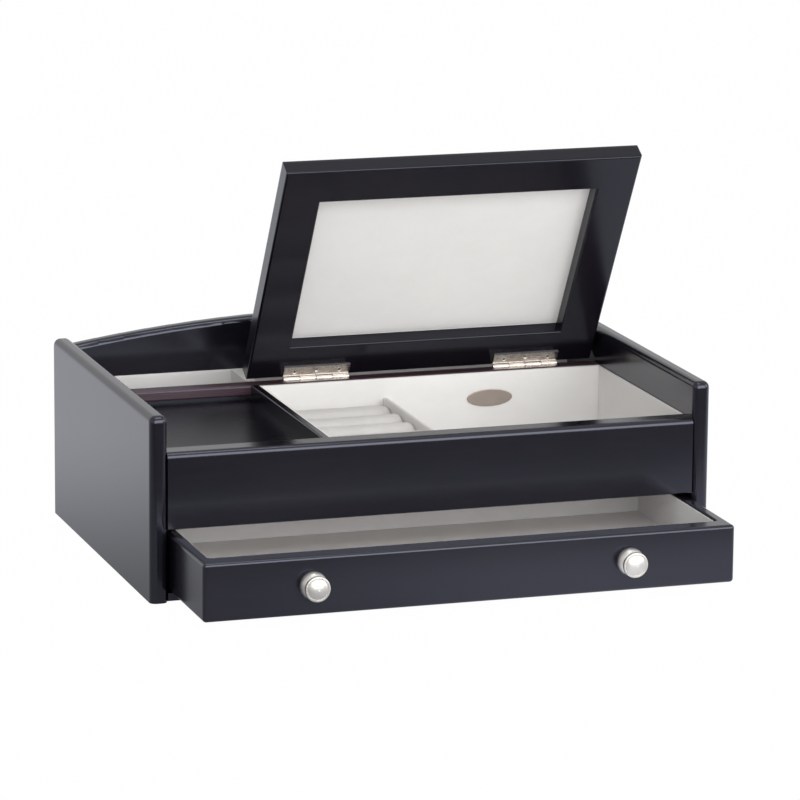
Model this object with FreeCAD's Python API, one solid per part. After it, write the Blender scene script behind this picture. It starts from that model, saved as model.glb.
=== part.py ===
import FreeCAD, Part
import math
import os

# Valet jewelry box: an open case with a coin tray, a lined compartment under a hinged lid,
# a row of ring rolls, two deep rear pockets and one drawer.
# Millimetres, +Z up, the front faces -Y. The origin is the middle of the case's footprint,
# on its underside. The lid is stored part open and the drawer part pulled out.

# Case boards
case_width = 305.0
case_depth = 203.5
side_height = 98.0
board = 9.3
edge_round = 3.0
side_round = 3.4
front_corner_radius = 3.6
foot_round = 0.6
rear_corner_radius = 4.5
groove_depth = 3.0
groove_stop = 3.5
arch_height = 106.45
arch_radius = 882.0

# Front panel, floors and drawer bay
front_setback = 0.57
front_thickness = 12.0
rim_height = 78.5
felt_thickness = 1.0
bottom_thickness = 4.0
bay_height = 33.2
deck_thickness = 4.0

# Wall, hinge rail, divider and pockets behind the compartments
pocket_depth = 43.15
wall_thickness = 6.3
rail_depth = 9.1
rail_height = 5.8
rail_round = 1.2
coin_tray_width = 85.6
coin_tray_depth = 7.4
coin_board_thickness = 3.0
coin_cleat = 8.0
divider_thickness = 3.9
divider_round = 1.0
partition_thickness = 4.0
partition_offset = 3.3
partition_drop = 2.0
stop_width = 20.0
stop_height = 10.0
stop_spacing = 220.0
stop_length = 14.7
stop_gap = 0.3

# Linings
lining = 1.5
front_lining = 2.0
back_lining = 2.0
right_lining = 1.0
lining_drop = 0.4
pocket_front_drop = 3.5

# Ring section
ring_section_width = 69.2
ring_divider_thickness = 2.4
ring_divider_height = 24.0
roll_count = 6
roll_height = 22.3
roll_gap = 0.3
roll_end_gap = 0.3
roll_end_round = 4.0
roll_end_steps = 6
roll_foot_inset = 1.6
roll_side_bulge = 0.45
roll_crown_flat = 0.6

# Blank oval plate on the back lining
plate_length = 26.0
plate_height = 9.5
plate_thickness = 0.8
plate_from_ring_divider = 58.9
plate_below_rim = 14.7

# Lid
lid_left_inset = 0.44
lid_right_gap = 1.56
lid_front_inset = 3.88
lid_gap = 1.44
lid_frame_thickness = 8.3
lid_board_thickness = 2.0
lid_lining_thickness = 0.5
lid_frame_width = 21.75
lid_round = 1.2
lid_rest_angle = 59.48

# Hinges
hinge_drop = 0.1
hinge_length = 37.5
hinge_inset = 20.3
leaf_width = 7.8
leaf_thickness = 0.8
barrel_radius = 1.3
barrel_clearance = 0.3
pin_radius = 0.65
pin_clearance = 0.05
knuckle_count = 4
knuckle_gap = 0.36
screw_head_radius = 1.5
screw_shank_radius = 0.7
screw_length = 5.0
screw_clearance = 0.15
screw_inset = 6.0
screw_from_axis = 4.8
spare_hole_radius = 0.6
spare_sink_radius = 1.1

# Drawer
drawer_side_gap = 0.8
drawer_front_thickness = 11.5
drawer_top_gap = 2.05
drawer_front_round = 1.9
drawer_edge_round = 1.2
runner_gap = 0.6
drawer_board = 6.0
drawer_bottom_lift = 3.6
drawer_bottom_thickness = 4.0
drawer_groove = 2.0
drawer_lining_drop = 1.0
drawer_pull = 63.0

# Knobs and their screws
knob_spacing = 170.0
knob_body_radius = 7.2
knob_body_foot = 0.8
knob_body_length = 3.6
knob_body_bulge = 0.35
knob_neck_radius = 4.5
knob_neck_length = 2.4
knob_chamfer = 0.4
knob_head_radius = 6.65
knob_head_length = 2.3
knob_head_flare = 0.6
knob_head_round = 0.7
knob_ring_radius = 5.5
knob_ring_width = 0.5
knob_ring_depth = 0.3
knob_dome = 1.6
knob_bore_depth = 6.0
bolt_shank_radius = 1.9
bolt_head_radius = 3.5
bolt_head_thickness = 2.2
bolt_clearance = 0.05
bolt_recess = 0.3

# Places worked out from the sizes above
inner_x = case_width / 2 - board
front_y = -case_depth / 2
rear_y = case_depth / 2
back_inner_y = rear_y - board
panel_front_y = front_y + front_setback
panel_rear_y = panel_front_y + front_thickness
floor_z = felt_thickness + bottom_thickness
deck_z = floor_z + bay_height
deck_top = deck_z + deck_thickness
tray_floor_z = deck_top + lining
rail_rear_y = back_inner_y - pocket_depth
rail_front_y = rail_rear_y - rail_depth
wall_front_y = rail_rear_y - wall_thickness
rail_z = rim_height - rail_height
divider_x0 = -inner_x + coin_tray_width
divider_x1 = divider_x0 + divider_thickness
coin_floor_z = rim_height - coin_tray_depth
coin_board_top = coin_floor_z - lining
coin_board_z = coin_board_top - coin_board_thickness
tray_front_y = panel_rear_y + front_lining
tray_back_y = rail_front_y - back_lining
tray_right_x = inner_x - right_lining
lining_top = rim_height - lining_drop
ring_x0 = divider_x1 + lining
ring_x1 = ring_x0 + ring_section_width
pocket_floor_z = floor_z + lining
pocket_front_y = rail_rear_y + lining
pocket_back_y = back_inner_y - lining
partition_top = rim_height - partition_drop
partition_x0 = divider_x0 + partition_offset

hinge_y = rail_rear_y
hinge_z = rim_height - hinge_drop
lid_x0 = divider_x0 + lid_left_inset
lid_x1 = inner_x - lid_right_gap
lid_y0 = panel_front_y + lid_front_inset
lid_y1 = hinge_y
lid_z0 = rim_height + lid_gap
lid_board_z = lid_z0 + lid_frame_thickness
lid_top = lid_board_z + lid_board_thickness
hinge_starts = (lid_x0 + hinge_inset, lid_x1 - hinge_inset - hinge_length)

drawer_x = inner_x - drawer_side_gap
drawer_inner_x = drawer_x - drawer_board
drawer_y0 = panel_front_y
drawer_y1 = drawer_y0 + drawer_front_thickness
drawer_y3 = wall_front_y - stop_length - stop_gap
drawer_y2 = drawer_y3 - drawer_board
drawer_z0 = floor_z + runner_gap
drawer_z1 = deck_z - drawer_top_gap
drawer_bottom_z = drawer_z0 + drawer_bottom_lift
drawer_lining_z = drawer_bottom_z + drawer_bottom_thickness
drawer_floor_z = drawer_lining_z + lining
drawer_lining_top = drawer_z1 - drawer_lining_drop
knob_z = (drawer_z0 + drawer_z1) / 2

tiny = 0.001


def vec(x, y, z):
    return FreeCAD.Vector(x, y, z)


def box(x0, x1, y0, y1, z0, z1):
    return Part.makeBox(x1 - x0, y1 - y0, z1 - z0, vec(x0, y0, z0))


def rod(radius, start, end):
    along = end - start
    return Part.makeCylinder(radius, along.Length, start, along)


def lies_at(edge, **places):
    """True where the whole edge lies at each named x, y or z."""
    bounds = edge.BoundBox
    for name, value in places.items():
        low = getattr(bounds, name.upper() + "Min")
        high = getattr(bounds, name.upper() + "Max")
        if abs(low - value) > tiny or abs(high - value) > tiny:
            return False
    return True


def rounded(solid, radius, *places):
    """Rounds the edges that lie at any of the places."""
    edges = [edge for edge in solid.Edges if any(lies_at(edge, **place) for place in places)]
    return solid.makeFillet(radius, edges)


def joined(first, *others):
    return first.multiFuse(list(others)).removeSplitter()


def save(node, shape):
    shape.exportStep("parts/" + node + ".step")
    print(node, len(shape.Solids), round(shape.Volume, 1))


# Case boards

def side_panel(side):
    """One side of the case, with a stopped groove for the bottom and one for the deck."""
    x0 = inner_x if side > 0 else -inner_x - board
    panel = box(x0, x0 + board, front_y, rear_y, 0, side_height)
    panel = rounded(panel, rear_corner_radius, {"y": rear_y, "z": side_height})
    panel = rounded(panel, front_corner_radius, {"y": front_y, "z": side_height})
    exposed = [edge for edge in panel.Edges
               if edge.BoundBox.XLength < tiny and edge.BoundBox.ZMax > foot_round
               and edge.BoundBox.ZMin + edge.BoundBox.ZMax > 0]
    panel = panel.makeFillet(side_round, exposed)
    grooves = []
    reach = inner_x + groove_depth
    grooves.append(box(-reach, reach, front_y + groove_stop, back_inner_y, felt_thickness, floor_z))
    grooves.append(box(-reach, reach, panel_rear_y, wall_front_y, deck_z, deck_top))
    return panel.cut(Part.makeCompound(grooves))


def back_panel():
    """The back board, whose top edge is a long flat arch."""
    arch_drop = arch_radius - math.sqrt(arch_radius ** 2 - inner_x ** 2)
    end_z = arch_height - arch_drop
    low_left = vec(-inner_x, back_inner_y, 0)
    low_right = vec(inner_x, back_inner_y, 0)
    high_right = vec(inner_x, back_inner_y, end_z)
    high_left = vec(-inner_x, back_inner_y, end_z)
    top = Part.Arc(high_right, vec(0, back_inner_y, arch_height), high_left).toShape()
    outline = Part.Wire([
        Part.makeLine(low_left, low_right),
        Part.makeLine(low_right, high_right),
        top,
        Part.makeLine(high_left, low_left),
    ])
    panel = Part.Face(outline).extrude(vec(0, board, 0))
    arched = [edge for edge in panel.Edges
              if edge.BoundBox.YLength < tiny and edge.BoundBox.ZMax > end_z + tiny
              and edge.BoundBox.ZMin > end_z - edge_round]
    return panel.makeFillet(edge_round, arched)


def bottom_panel():
    wide = box(-inner_x - groove_depth, inner_x + groove_depth, front_y + groove_stop,
               back_inner_y, felt_thickness, floor_z)
    nose = box(-inner_x, inner_x, panel_front_y, front_y + groove_stop, felt_thickness, floor_z)
    return joined(wide, nose)


def front_panel():
    panel = box(-inner_x, inner_x, panel_front_y, panel_rear_y, deck_z, rim_height)
    panel = rounded(panel, edge_round, {"y": panel_front_y, "z": rim_height})
    return rounded(panel, foot_round, {"y": panel_front_y, "z": deck_z})


def hinge_rail():
    """The cap that carries the hinges, with a seat for each leaf and room for each barrel."""
    rail = box(-inner_x, inner_x, rail_front_y, rail_rear_y, rail_z, rim_height)
    rail = rounded(rail, rail_round, {"y": rail_front_y, "z": rim_height}, {"y": rail_front_y, "z": rail_z})
    for start in hinge_starts:
        end = start + hinge_length
        seat = box(start, end, hinge_y - leaf_width, hinge_y, rim_height - leaf_thickness, rim_height)
        notch = rod(barrel_radius + barrel_clearance, vec(start - barrel_clearance, hinge_y, hinge_z),
                    vec(end + barrel_clearance, hinge_y, hinge_z))
        rail = rail.cut(seat).cut(notch)
    for x in screw_places():
        rail = rail.cut(case_screw(x, screw_clearance))
    return rail


def compartment_divider():
    """Stands on the deck, under and in front of the hinge rail."""
    low = box(divider_x0, divider_x1, panel_rear_y, wall_front_y, deck_top, rail_z)
    high = box(divider_x0, divider_x1, panel_rear_y, rail_front_y, rail_z, rim_height)
    return rounded(joined(low, high), divider_round, {"x": divider_x0, "z": rim_height})


def coin_tray_cleats():
    """Two strips behind the front panel and before the wall board, under the coin tray's board."""
    return Part.makeCompound([
        box(-inner_x, divider_x0, y0, y0 + coin_cleat, coin_board_z - coin_cleat, coin_board_z)
        for y0 in (panel_rear_y, wall_front_y - coin_cleat)])


def drawer_stops():
    stops = []
    for side in (-1, 1):
        middle = side * stop_spacing / 2
        stops.append(box(middle - stop_width / 2, middle + stop_width / 2, wall_front_y - stop_length,
                         wall_front_y, floor_z, floor_z + stop_height))
    return Part.makeCompound(stops)


# Linings and the ring section

def compartment_back_lining():
    """A padded board: it fills the step under the hinge rail and faces the rail."""
    low = box(divider_x1, inner_x, tray_back_y, wall_front_y, tray_floor_z, rail_z)
    high = box(divider_x1, inner_x, tray_back_y, rail_front_y, rail_z, lining_top)
    return joined(low, high)


def roll_section(x, middle, inset):
    """A ring roll's outline in a plane across it: a flat foot, two sides and a round top."""
    half = (roll_pitch() - roll_gap) / 2 - inset
    foot = half - roll_foot_inset
    top = tray_floor_z + roll_height - inset
    shoulder = top - half + roll_crown_flat
    side = (half + foot) / 2 + roll_side_bulge
    waist = (shoulder + tray_floor_z) / 2
    foot_left = vec(x, middle - foot, tray_floor_z)
    foot_right = vec(x, middle + foot, tray_floor_z)
    shoulder_left = vec(x, middle - half, shoulder)
    shoulder_right = vec(x, middle + half, shoulder)
    return Part.Wire([
        Part.makeLine(foot_left, foot_right),
        Part.Arc(foot_right, vec(x, middle + side, waist), shoulder_right).toShape(),
        Part.Arc(shoulder_right, vec(x, middle, top), shoulder_left).toShape(),
        Part.Arc(shoulder_left, vec(x, middle - side, waist), foot_left).toShape(),
    ])


def roll_pitch():
    return (tray_back_y - tray_front_y) / roll_count


def ring_roll(index):
    """A straight foam roll whose ends round off by a quarter circle."""
    middle = tray_front_y + (index + 0.5) * roll_pitch()
    x0 = ring_x0 + roll_end_gap
    x1 = ring_x1 - roll_end_gap
    stations = []
    for step in range(roll_end_steps + 1):
        turn = math.radians(90.0 * step / roll_end_steps)
        stations.append((roll_end_round * (1 - math.cos(turn)), roll_end_round * (1 - math.sin(turn))))
    sections = [roll_section(x0 + along, middle, inset) for along, inset in stations]
    sections += [roll_section(x1 - along, middle, inset) for along, inset in reversed(stations)]
    return Part.makeLoft(sections, True, True)


def blank_plate():
    x = ring_x1 + ring_divider_thickness + plate_from_ring_divider
    centre = vec(x, tray_back_y - plate_thickness, rim_height - plate_below_rim)
    oval = Part.Ellipse(centre + vec(plate_length / 2, 0, 0), centre + vec(0, 0, plate_height / 2), centre)
    face = Part.Face(Part.Wire([oval.toShape()]))
    return face.extrude(vec(0, plate_thickness, 0))


# Hinges: both leaves, pins and screws

def screw_places():
    """The x of each hinge screw, near both ends of both hinges."""
    places = []
    for start in hinge_starts:
        places.append(start + screw_inset)
        places.append(start + hinge_length - screw_inset)
    return places


def screw(head, point, clearance):
    """A countersunk wood screw, or with a clearance the hole for one."""
    along = (point - head).normalize()
    cone = Part.makeCone(screw_head_radius + clearance, screw_shank_radius + clearance,
                         leaf_thickness, head, along)
    neck = head + along * (leaf_thickness / 2)
    shank = rod(screw_shank_radius + clearance, neck, point + along * clearance)
    return joined(cone, shank)


def case_screw(x, clearance=0.0):
    head = vec(x, hinge_y - screw_from_axis, rim_height)
    return screw(head, head - vec(0, 0, screw_length), clearance)


def lid_screw(x, clearance=0.0):
    head = vec(x, hinge_y - screw_from_axis, lid_z0 - leaf_thickness)
    return screw(head, head + vec(0, 0, screw_length), clearance)


def knuckles(start, own):
    """The barrel lengths that belong to one leaf, and those that belong to the other."""
    pitch = hinge_length / knuckle_count
    mine = []
    theirs = []
    for index in range(knuckle_count):
        x0 = start + index * pitch
        if index % 2 == own:
            mine.append((x0 + knuckle_gap / 2, x0 + pitch - knuckle_gap / 2))
        else:
            theirs.append((x0 - knuckle_gap / 2, x0 + pitch + knuckle_gap / 2))
    return mine, theirs


def hinge_leaf(start, own, plate_z):
    """A flat leaf with its knuckles and a spare screw hole, cut away round the other leaf's knuckles."""
    mine, theirs = knuckles(start, own)
    leaf = box(start, start + hinge_length, hinge_y - leaf_width, hinge_y, plate_z, plate_z + leaf_thickness)
    for x0, x1 in theirs:
        room = barrel_radius + barrel_clearance
        leaf = leaf.cut(box(x0, x1, hinge_y - room, hinge_y + room, hinge_z - room, hinge_z + room))
    for x0, x1 in mine:
        leaf = leaf.fuse(rod(barrel_radius, vec(x0, hinge_y, hinge_z), vec(x1, hinge_y, hinge_z)))
    bore = rod(pin_radius + pin_clearance, vec(start - 1, hinge_y, hinge_z),
               vec(start + hinge_length + 1, hinge_y, hinge_z))
    face_z = plate_z if own else plate_z + leaf_thickness
    inward = vec(0, 0, leaf_thickness if own else -leaf_thickness)
    middle = vec(start + hinge_length / 2, hinge_y - screw_from_axis, face_z)
    hole = Part.makeCone(spare_sink_radius, spare_hole_radius, leaf_thickness, middle, inward)
    return leaf.cut(bore).cut(hole).removeSplitter()


def case_leaf(start):
    leaf = hinge_leaf(start, 0, rim_height - leaf_thickness)
    for x in screw_places():
        leaf = leaf.cut(case_screw(x, screw_clearance))
    return leaf


def lid_leaf(start):
    leaf = hinge_leaf(start, 1, lid_z0 - leaf_thickness)
    for x in screw_places():
        leaf = leaf.cut(lid_screw(x, screw_clearance))
    return leaf


def hinge_pins():
    pins = []
    for start in hinge_starts:
        ends = (vec(start, hinge_y, hinge_z), vec(start + hinge_length, hinge_y, hinge_z))
        pins.append(rod(pin_radius, *ends))
    return Part.makeCompound(pins)


# Lid: a mitred frame under a thin board, drawn closed and then swung open

def opened(shape):
    turned = shape.copy()
    turned.rotate(vec(0, hinge_y, hinge_z), vec(-1, 0, 0), lid_rest_angle)
    return turned


def lid_window():
    """The flat opening inside the frame, as its x and y limits."""
    return (lid_x0 + lid_frame_width, lid_x1 - lid_frame_width,
            lid_y0 + lid_frame_width, lid_y1 - lid_frame_width)


def lid_bar(x0, x1, y0, y1, **side):
    """A straight bar of the frame, its lower long edges rounded, before its mitres are cut."""
    bar = box(x0, x1, y0, y1, lid_z0, lid_board_z)
    return rounded(bar, lid_round, *[{"z": lid_z0, name: value} for name in side for value in side[name]])


def mitred(bar, corners):
    """The part of a bar above a flat outline."""
    points = [vec(x, y, lid_z0 - 1) for x, y in corners]
    outline = Part.makePolygon(points + points[:1])
    return bar.common(Part.Face(outline).extrude(vec(0, 0, lid_frame_thickness + 2)))


def lid_frame_pieces():
    x0, x1, y0, y1 = lid_window()
    bars = {
        "lid_front_rail": lid_bar(lid_x0, lid_x1, lid_y0, y0, y=(lid_y0, y0)),
        "lid_right_stile": lid_bar(x1, lid_x1, lid_y0, lid_y1, x=(x1, lid_x1)),
        "lid_rear_rail": lid_bar(lid_x0, lid_x1, y1, lid_y1, y=(y1, lid_y1)),
        "lid_left_stile": lid_bar(lid_x0, x0, lid_y0, lid_y1, x=(lid_x0, x0)),
    }
    for x in screw_places():
        bars["lid_rear_rail"] = bars["lid_rear_rail"].cut(lid_screw(x, screw_clearance))
    outer = ((lid_x0, lid_y0), (lid_x1, lid_y0), (lid_x1, lid_y1), (lid_x0, lid_y1))
    inner = ((x0, y0), (x1, y0), (x1, y1), (x0, y1))
    pieces = {}
    for index, name in enumerate(bars):
        after = (index + 1) % len(bars)
        corners = (outer[index], outer[after], inner[after], inner[index])
        pieces[name] = mitred(bars[name], corners)
    return pieces


def lid_top_board():
    panel = box(lid_x0, lid_x1, lid_y0, lid_y1, lid_board_z, lid_top)
    return rounded(panel, lid_round, {"z": lid_top})


def lid_lining():
    return box(*lid_window(), lid_board_z - lid_lining_thickness, lid_board_z)


# Drawer: drawn closed and then pulled out

def pulled(shape):
    moved = shape.copy()
    moved.translate(vec(0, -drawer_pull, 0))
    return moved


def knob_places():
    return (-knob_spacing / 2, knob_spacing / 2)


def bottom_board():
    """The drawer's bottom, held by grooves in its sides and front."""
    reach = drawer_inner_x + drawer_groove
    return box(-reach, reach, drawer_y1 - drawer_groove, drawer_y2, drawer_bottom_z, drawer_lining_z)


def drawer_front():
    """The front, rounded all round its face, and along its inner edge from side to side."""
    front = box(-drawer_x, drawer_x, drawer_y0, drawer_y1, drawer_z0, drawer_z1)
    ends = [{"x": x, "z": z} for x in (-drawer_x, drawer_x) for z in (drawer_z0, drawer_z1)]
    front = rounded(front, drawer_front_round, {"y": drawer_y0}, *ends)
    centre_y = drawer_y1 - drawer_edge_round
    centre_z = drawer_z1 - drawer_edge_round
    waste = box(-drawer_inner_x, drawer_inner_x, centre_y, drawer_y1, centre_z, drawer_z1)
    kept = rod(drawer_edge_round, vec(-drawer_x, centre_y, centre_z), vec(drawer_x, centre_y, centre_z))
    front = front.cut(waste.cut(kept)).cut(bottom_board())
    for x in knob_places():
        front = front.cut(knob_bolt(x, bolt_clearance))
    return front


def drawer_side(side):
    inner = side * drawer_inner_x
    outer = side * drawer_x
    panel = box(min(inner, outer), max(inner, outer), drawer_y1, drawer_y3, drawer_z0, drawer_z1)
    panel = rounded(panel, drawer_edge_round, {"x": inner, "z": drawer_z1})
    panel = rounded(panel, drawer_front_round, {"x": outer, "z": drawer_z0}, {"x": outer, "z": drawer_z1})
    return panel.cut(bottom_board())


def drawer_back():
    top = drawer_z1 - drawer_lining_drop
    return box(-drawer_inner_x, drawer_inner_x, drawer_y2, drawer_y3, drawer_z0, top)


def drawer_side_linings():
    strips = []
    for side in (-1, 1):
        inner = side * (drawer_inner_x - lining)
        outer = side * drawer_inner_x
        strips.append(box(min(inner, outer), max(inner, outer), drawer_y1 + lining, drawer_y2 - lining,
                          drawer_floor_z, drawer_lining_top))
    return Part.makeCompound(strips)


def knob_bolt(x, clearance=0.0):
    """The bolt through the drawer front into a knob, or with a clearance its hole."""
    head_y = drawer_y1 - bolt_recess
    seat_y = head_y - bolt_head_thickness
    head_end = drawer_y1 if clearance else head_y
    head = rod(bolt_head_radius + clearance, vec(x, head_end, knob_z), vec(x, seat_y, knob_z))
    tip_y = drawer_y0 - knob_bore_depth + bolt_recess - clearance
    shank = rod(bolt_shank_radius + clearance, vec(x, seat_y, knob_z), vec(x, tip_y, knob_z))
    return joined(head, shank)


def knob(x):
    """Turned on its own axis: a flared foot, a neck and a wider head with a ringed, domed face."""
    body = knob_body_length
    neck = body + knob_neck_length
    rim = neck + knob_head_length
    head = knob_head_radius
    ring_inner = knob_ring_radius - knob_ring_width / 2
    ring_outer = knob_ring_radius + knob_ring_width / 2
    shoulder = knob_neck_radius + knob_chamfer
    belly = ((knob_body_radius + shoulder) / 2 + knob_body_bulge * 0.5,
             (knob_body_foot + body) / 2 + knob_body_bulge)
    bend = knob_head_round * (1 - math.sqrt(0.5))
    dome_radius = (ring_inner ** 2 + knob_dome ** 2) / (2 * knob_dome)
    dome_centre = rim + knob_dome - dome_radius
    half_turn = math.asin(ring_inner / dome_radius) / 2
    dome_middle = (dome_radius * math.sin(half_turn), dome_centre + dome_radius * math.cos(half_turn))
    outline = [
        ((0, 0), (knob_body_radius, 0)),
        ((knob_body_radius, 0), (knob_body_radius, knob_body_foot)),
        ((knob_body_radius, knob_body_foot), belly, (shoulder, body)),
        ((shoulder, body), (knob_neck_radius, body)),
        ((knob_neck_radius, body), (knob_neck_radius, neck)),
        ((knob_neck_radius, neck), (head - knob_head_flare, neck)),
        ((head - knob_head_flare, neck), (head, neck + knob_head_flare)),
        ((head, neck + knob_head_flare), (head, rim - knob_head_round)),
        ((head, rim - knob_head_round), (head - bend, rim - bend), (head - knob_head_round, rim)),
        ((head - knob_head_round, rim), (ring_outer, rim)),
        ((ring_outer, rim), (knob_ring_radius, rim - knob_ring_depth)),
        ((knob_ring_radius, rim - knob_ring_depth), (ring_inner, rim)),
        ((ring_inner, rim), dome_middle, (0, rim + knob_dome)),
        ((0, rim + knob_dome), (0, 0)),
    ]
    edges = []
    for points in outline:
        places = [vec(x + radius, drawer_y0 - height, knob_z) for radius, height in points]
        if len(places) == 3:
            edges.append(Part.Arc(*places).toShape())
        else:
            edges.append(Part.makeLine(*places))
    turned = Part.Face(Part.Wire(edges)).revolve(vec(x, drawer_y0, knob_z), vec(0, 1, 0), 360)
    bore = rod(bolt_shank_radius + bolt_clearance, vec(x, drawer_y0, knob_z),
               vec(x, drawer_y0 - knob_bore_depth, knob_z))
    return turned.cut(bore)


# The nodes, one file each

def save_case():
    save("left_side_panel", side_panel(-1))
    save("right_side_panel", side_panel(1))
    save("back_panel", back_panel())
    save("front_panel", front_panel())
    save("bottom_panel", bottom_panel())
    save("base_felt", box(-inner_x, inner_x, front_y + groove_stop, back_inner_y, 0, felt_thickness))
    save("compartment_deck", box(-inner_x - groove_depth, inner_x + groove_depth, panel_rear_y,
                                 wall_front_y, deck_z, deck_top))
    save("rear_wall_board", box(-inner_x, inner_x, wall_front_y, rail_rear_y, floor_z, rail_z))
    save("hinge_rail", hinge_rail())
    save("compartment_divider", compartment_divider())
    save("coin_tray_board", box(-inner_x, divider_x0, panel_rear_y, wall_front_y,
                                coin_board_z, coin_board_top))
    save("coin_tray_cleats", coin_tray_cleats())
    save("pocket_partition", box(partition_x0 + lining, partition_x0 + lining + partition_thickness,
                                 pocket_front_y, pocket_back_y, pocket_floor_z, partition_top))
    save("drawer_stops", drawer_stops())


def save_linings():
    save("coin_tray_floor_lining", box(-inner_x, divider_x0, panel_rear_y, wall_front_y,
                                       coin_board_top, coin_floor_z))
    save("compartment_floor_lining", box(divider_x1, inner_x, panel_rear_y, wall_front_y,
                                         deck_top, tray_floor_z))
    save("compartment_front_lining", box(divider_x1, inner_x, panel_rear_y, tray_front_y,
                                         tray_floor_z, lining_top))
    save("compartment_back_lining", compartment_back_lining())
    save("compartment_left_lining", box(divider_x1, ring_x0, tray_front_y, tray_back_y,
                                        tray_floor_z, lining_top))
    save("compartment_right_lining", box(tray_right_x, inner_x, tray_front_y, tray_back_y,
                                         tray_floor_z, lining_top))
    save("pocket_floor_lining", box(-inner_x, inner_x, rail_rear_y, back_inner_y, floor_z, pocket_floor_z))
    save("pocket_front_lining", box(-inner_x, inner_x, rail_rear_y, pocket_front_y,
                                    pocket_floor_z, rim_height - pocket_front_drop))
    save("pocket_back_lining", box(-inner_x, inner_x, pocket_back_y, back_inner_y,
                                   pocket_floor_z, partition_top))
    save("pocket_partition_lining", box(partition_x0, partition_x0 + lining, pocket_front_y,
                                        pocket_back_y, pocket_floor_z, partition_top))


def save_ring_section():
    save("ring_divider", box(ring_x1, ring_x1 + ring_divider_thickness, tray_front_y, tray_back_y,
                             tray_floor_z, tray_floor_z + ring_divider_height))
    for index in range(roll_count):
        save("ring_roll_%d" % (index + 1), ring_roll(index))
    save("blank_plate", blank_plate())


def save_hinges():
    for side, start in zip(("left", "right"), hinge_starts):
        save(side + "_hinge_case_leaf", case_leaf(start))
        save(side + "_hinge_lid_leaf", opened(lid_leaf(start)))
    save("hinge_pins", hinge_pins())
    save("case_hinge_screws", Part.makeCompound([case_screw(x) for x in screw_places()]))
    save("lid_hinge_screws", opened(Part.makeCompound([lid_screw(x) for x in screw_places()])))


def save_lid():
    for name, piece in lid_frame_pieces().items():
        save(name, opened(piece))
    save("lid_top_board", opened(lid_top_board()))
    save("lid_lining", opened(lid_lining()))


def save_drawer():
    save("drawer_front", pulled(drawer_front()))
    save("drawer_left_side", pulled(drawer_side(-1)))
    save("drawer_right_side", pulled(drawer_side(1)))
    save("drawer_back", pulled(drawer_back()))
    save("drawer_bottom", pulled(bottom_board()))
    save("drawer_floor_lining", pulled(box(-drawer_inner_x, drawer_inner_x, drawer_y1, drawer_y2,
                                           drawer_lining_z, drawer_floor_z)))
    save("drawer_front_lining", pulled(box(-drawer_inner_x, drawer_inner_x, drawer_y1, drawer_y1 + lining,
                                           drawer_floor_z, drawer_lining_top)))
    save("drawer_back_lining", pulled(box(-drawer_inner_x, drawer_inner_x, drawer_y2 - lining, drawer_y2,
                                          drawer_floor_z, drawer_lining_top)))
    save("drawer_side_linings", pulled(drawer_side_linings()))
    for side, x in zip(("left", "right"), knob_places()):
        save("drawer_%s_knob" % side, pulled(knob(x)))
    save("knob_bolts", pulled(Part.makeCompound([knob_bolt(x) for x in knob_places()])))


os.makedirs("parts", exist_ok=True)
save_case()
save_linings()
save_ring_section()
save_hinges()
save_lid()
save_drawer()
print("rolls every", round(roll_pitch(), 2), "mm; drawer floor at", round(drawer_floor_z, 2), "mm")
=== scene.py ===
import math

import bpy
from mathutils import Matrix, Vector, noise


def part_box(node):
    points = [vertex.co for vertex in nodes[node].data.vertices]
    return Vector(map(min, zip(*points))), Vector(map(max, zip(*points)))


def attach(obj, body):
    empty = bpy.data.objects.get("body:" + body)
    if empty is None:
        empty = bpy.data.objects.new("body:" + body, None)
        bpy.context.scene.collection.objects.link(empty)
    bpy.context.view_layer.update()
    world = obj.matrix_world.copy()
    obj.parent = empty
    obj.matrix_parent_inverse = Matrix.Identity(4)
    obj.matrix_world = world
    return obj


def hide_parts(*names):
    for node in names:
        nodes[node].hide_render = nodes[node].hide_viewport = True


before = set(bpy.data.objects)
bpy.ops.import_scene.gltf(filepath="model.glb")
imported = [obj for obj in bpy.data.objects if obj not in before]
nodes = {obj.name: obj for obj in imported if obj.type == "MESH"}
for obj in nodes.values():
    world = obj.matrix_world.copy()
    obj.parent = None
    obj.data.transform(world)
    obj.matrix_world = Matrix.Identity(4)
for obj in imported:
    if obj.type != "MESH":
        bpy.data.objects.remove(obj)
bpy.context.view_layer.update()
mm = 0.001
print("frame loaded,", len(nodes), "nodes")

# The lid is stored open. Its pieces are made closed, then turned about the hinge pins.
lidHinge = {"y": 49.3 * mm, "z": 78.4 * mm, "opened": 59.48}
hingeSpot = Vector((0, lidHinge["y"], lidHinge["z"]))
lidTurn = Matrix.Rotation(-math.radians(lidHinge["opened"]), 4, "X")
openLid = Matrix.Translation(hingeSpot) @ lidTurn @ Matrix.Translation(-hingeSpot)
closeLid = openLid.inverted()


# The camera stands where the photograph's was: place in millimetres, turns in degrees.
view = {"lens": 211.57, "sensor": 36.0, "yaw": -18.2765, "pitch": 12.6851, "roll": 0.5032,
        "place": (-759.487, -2342.066, 629.800), "near": 0.05, "far": 60.0}


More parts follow.
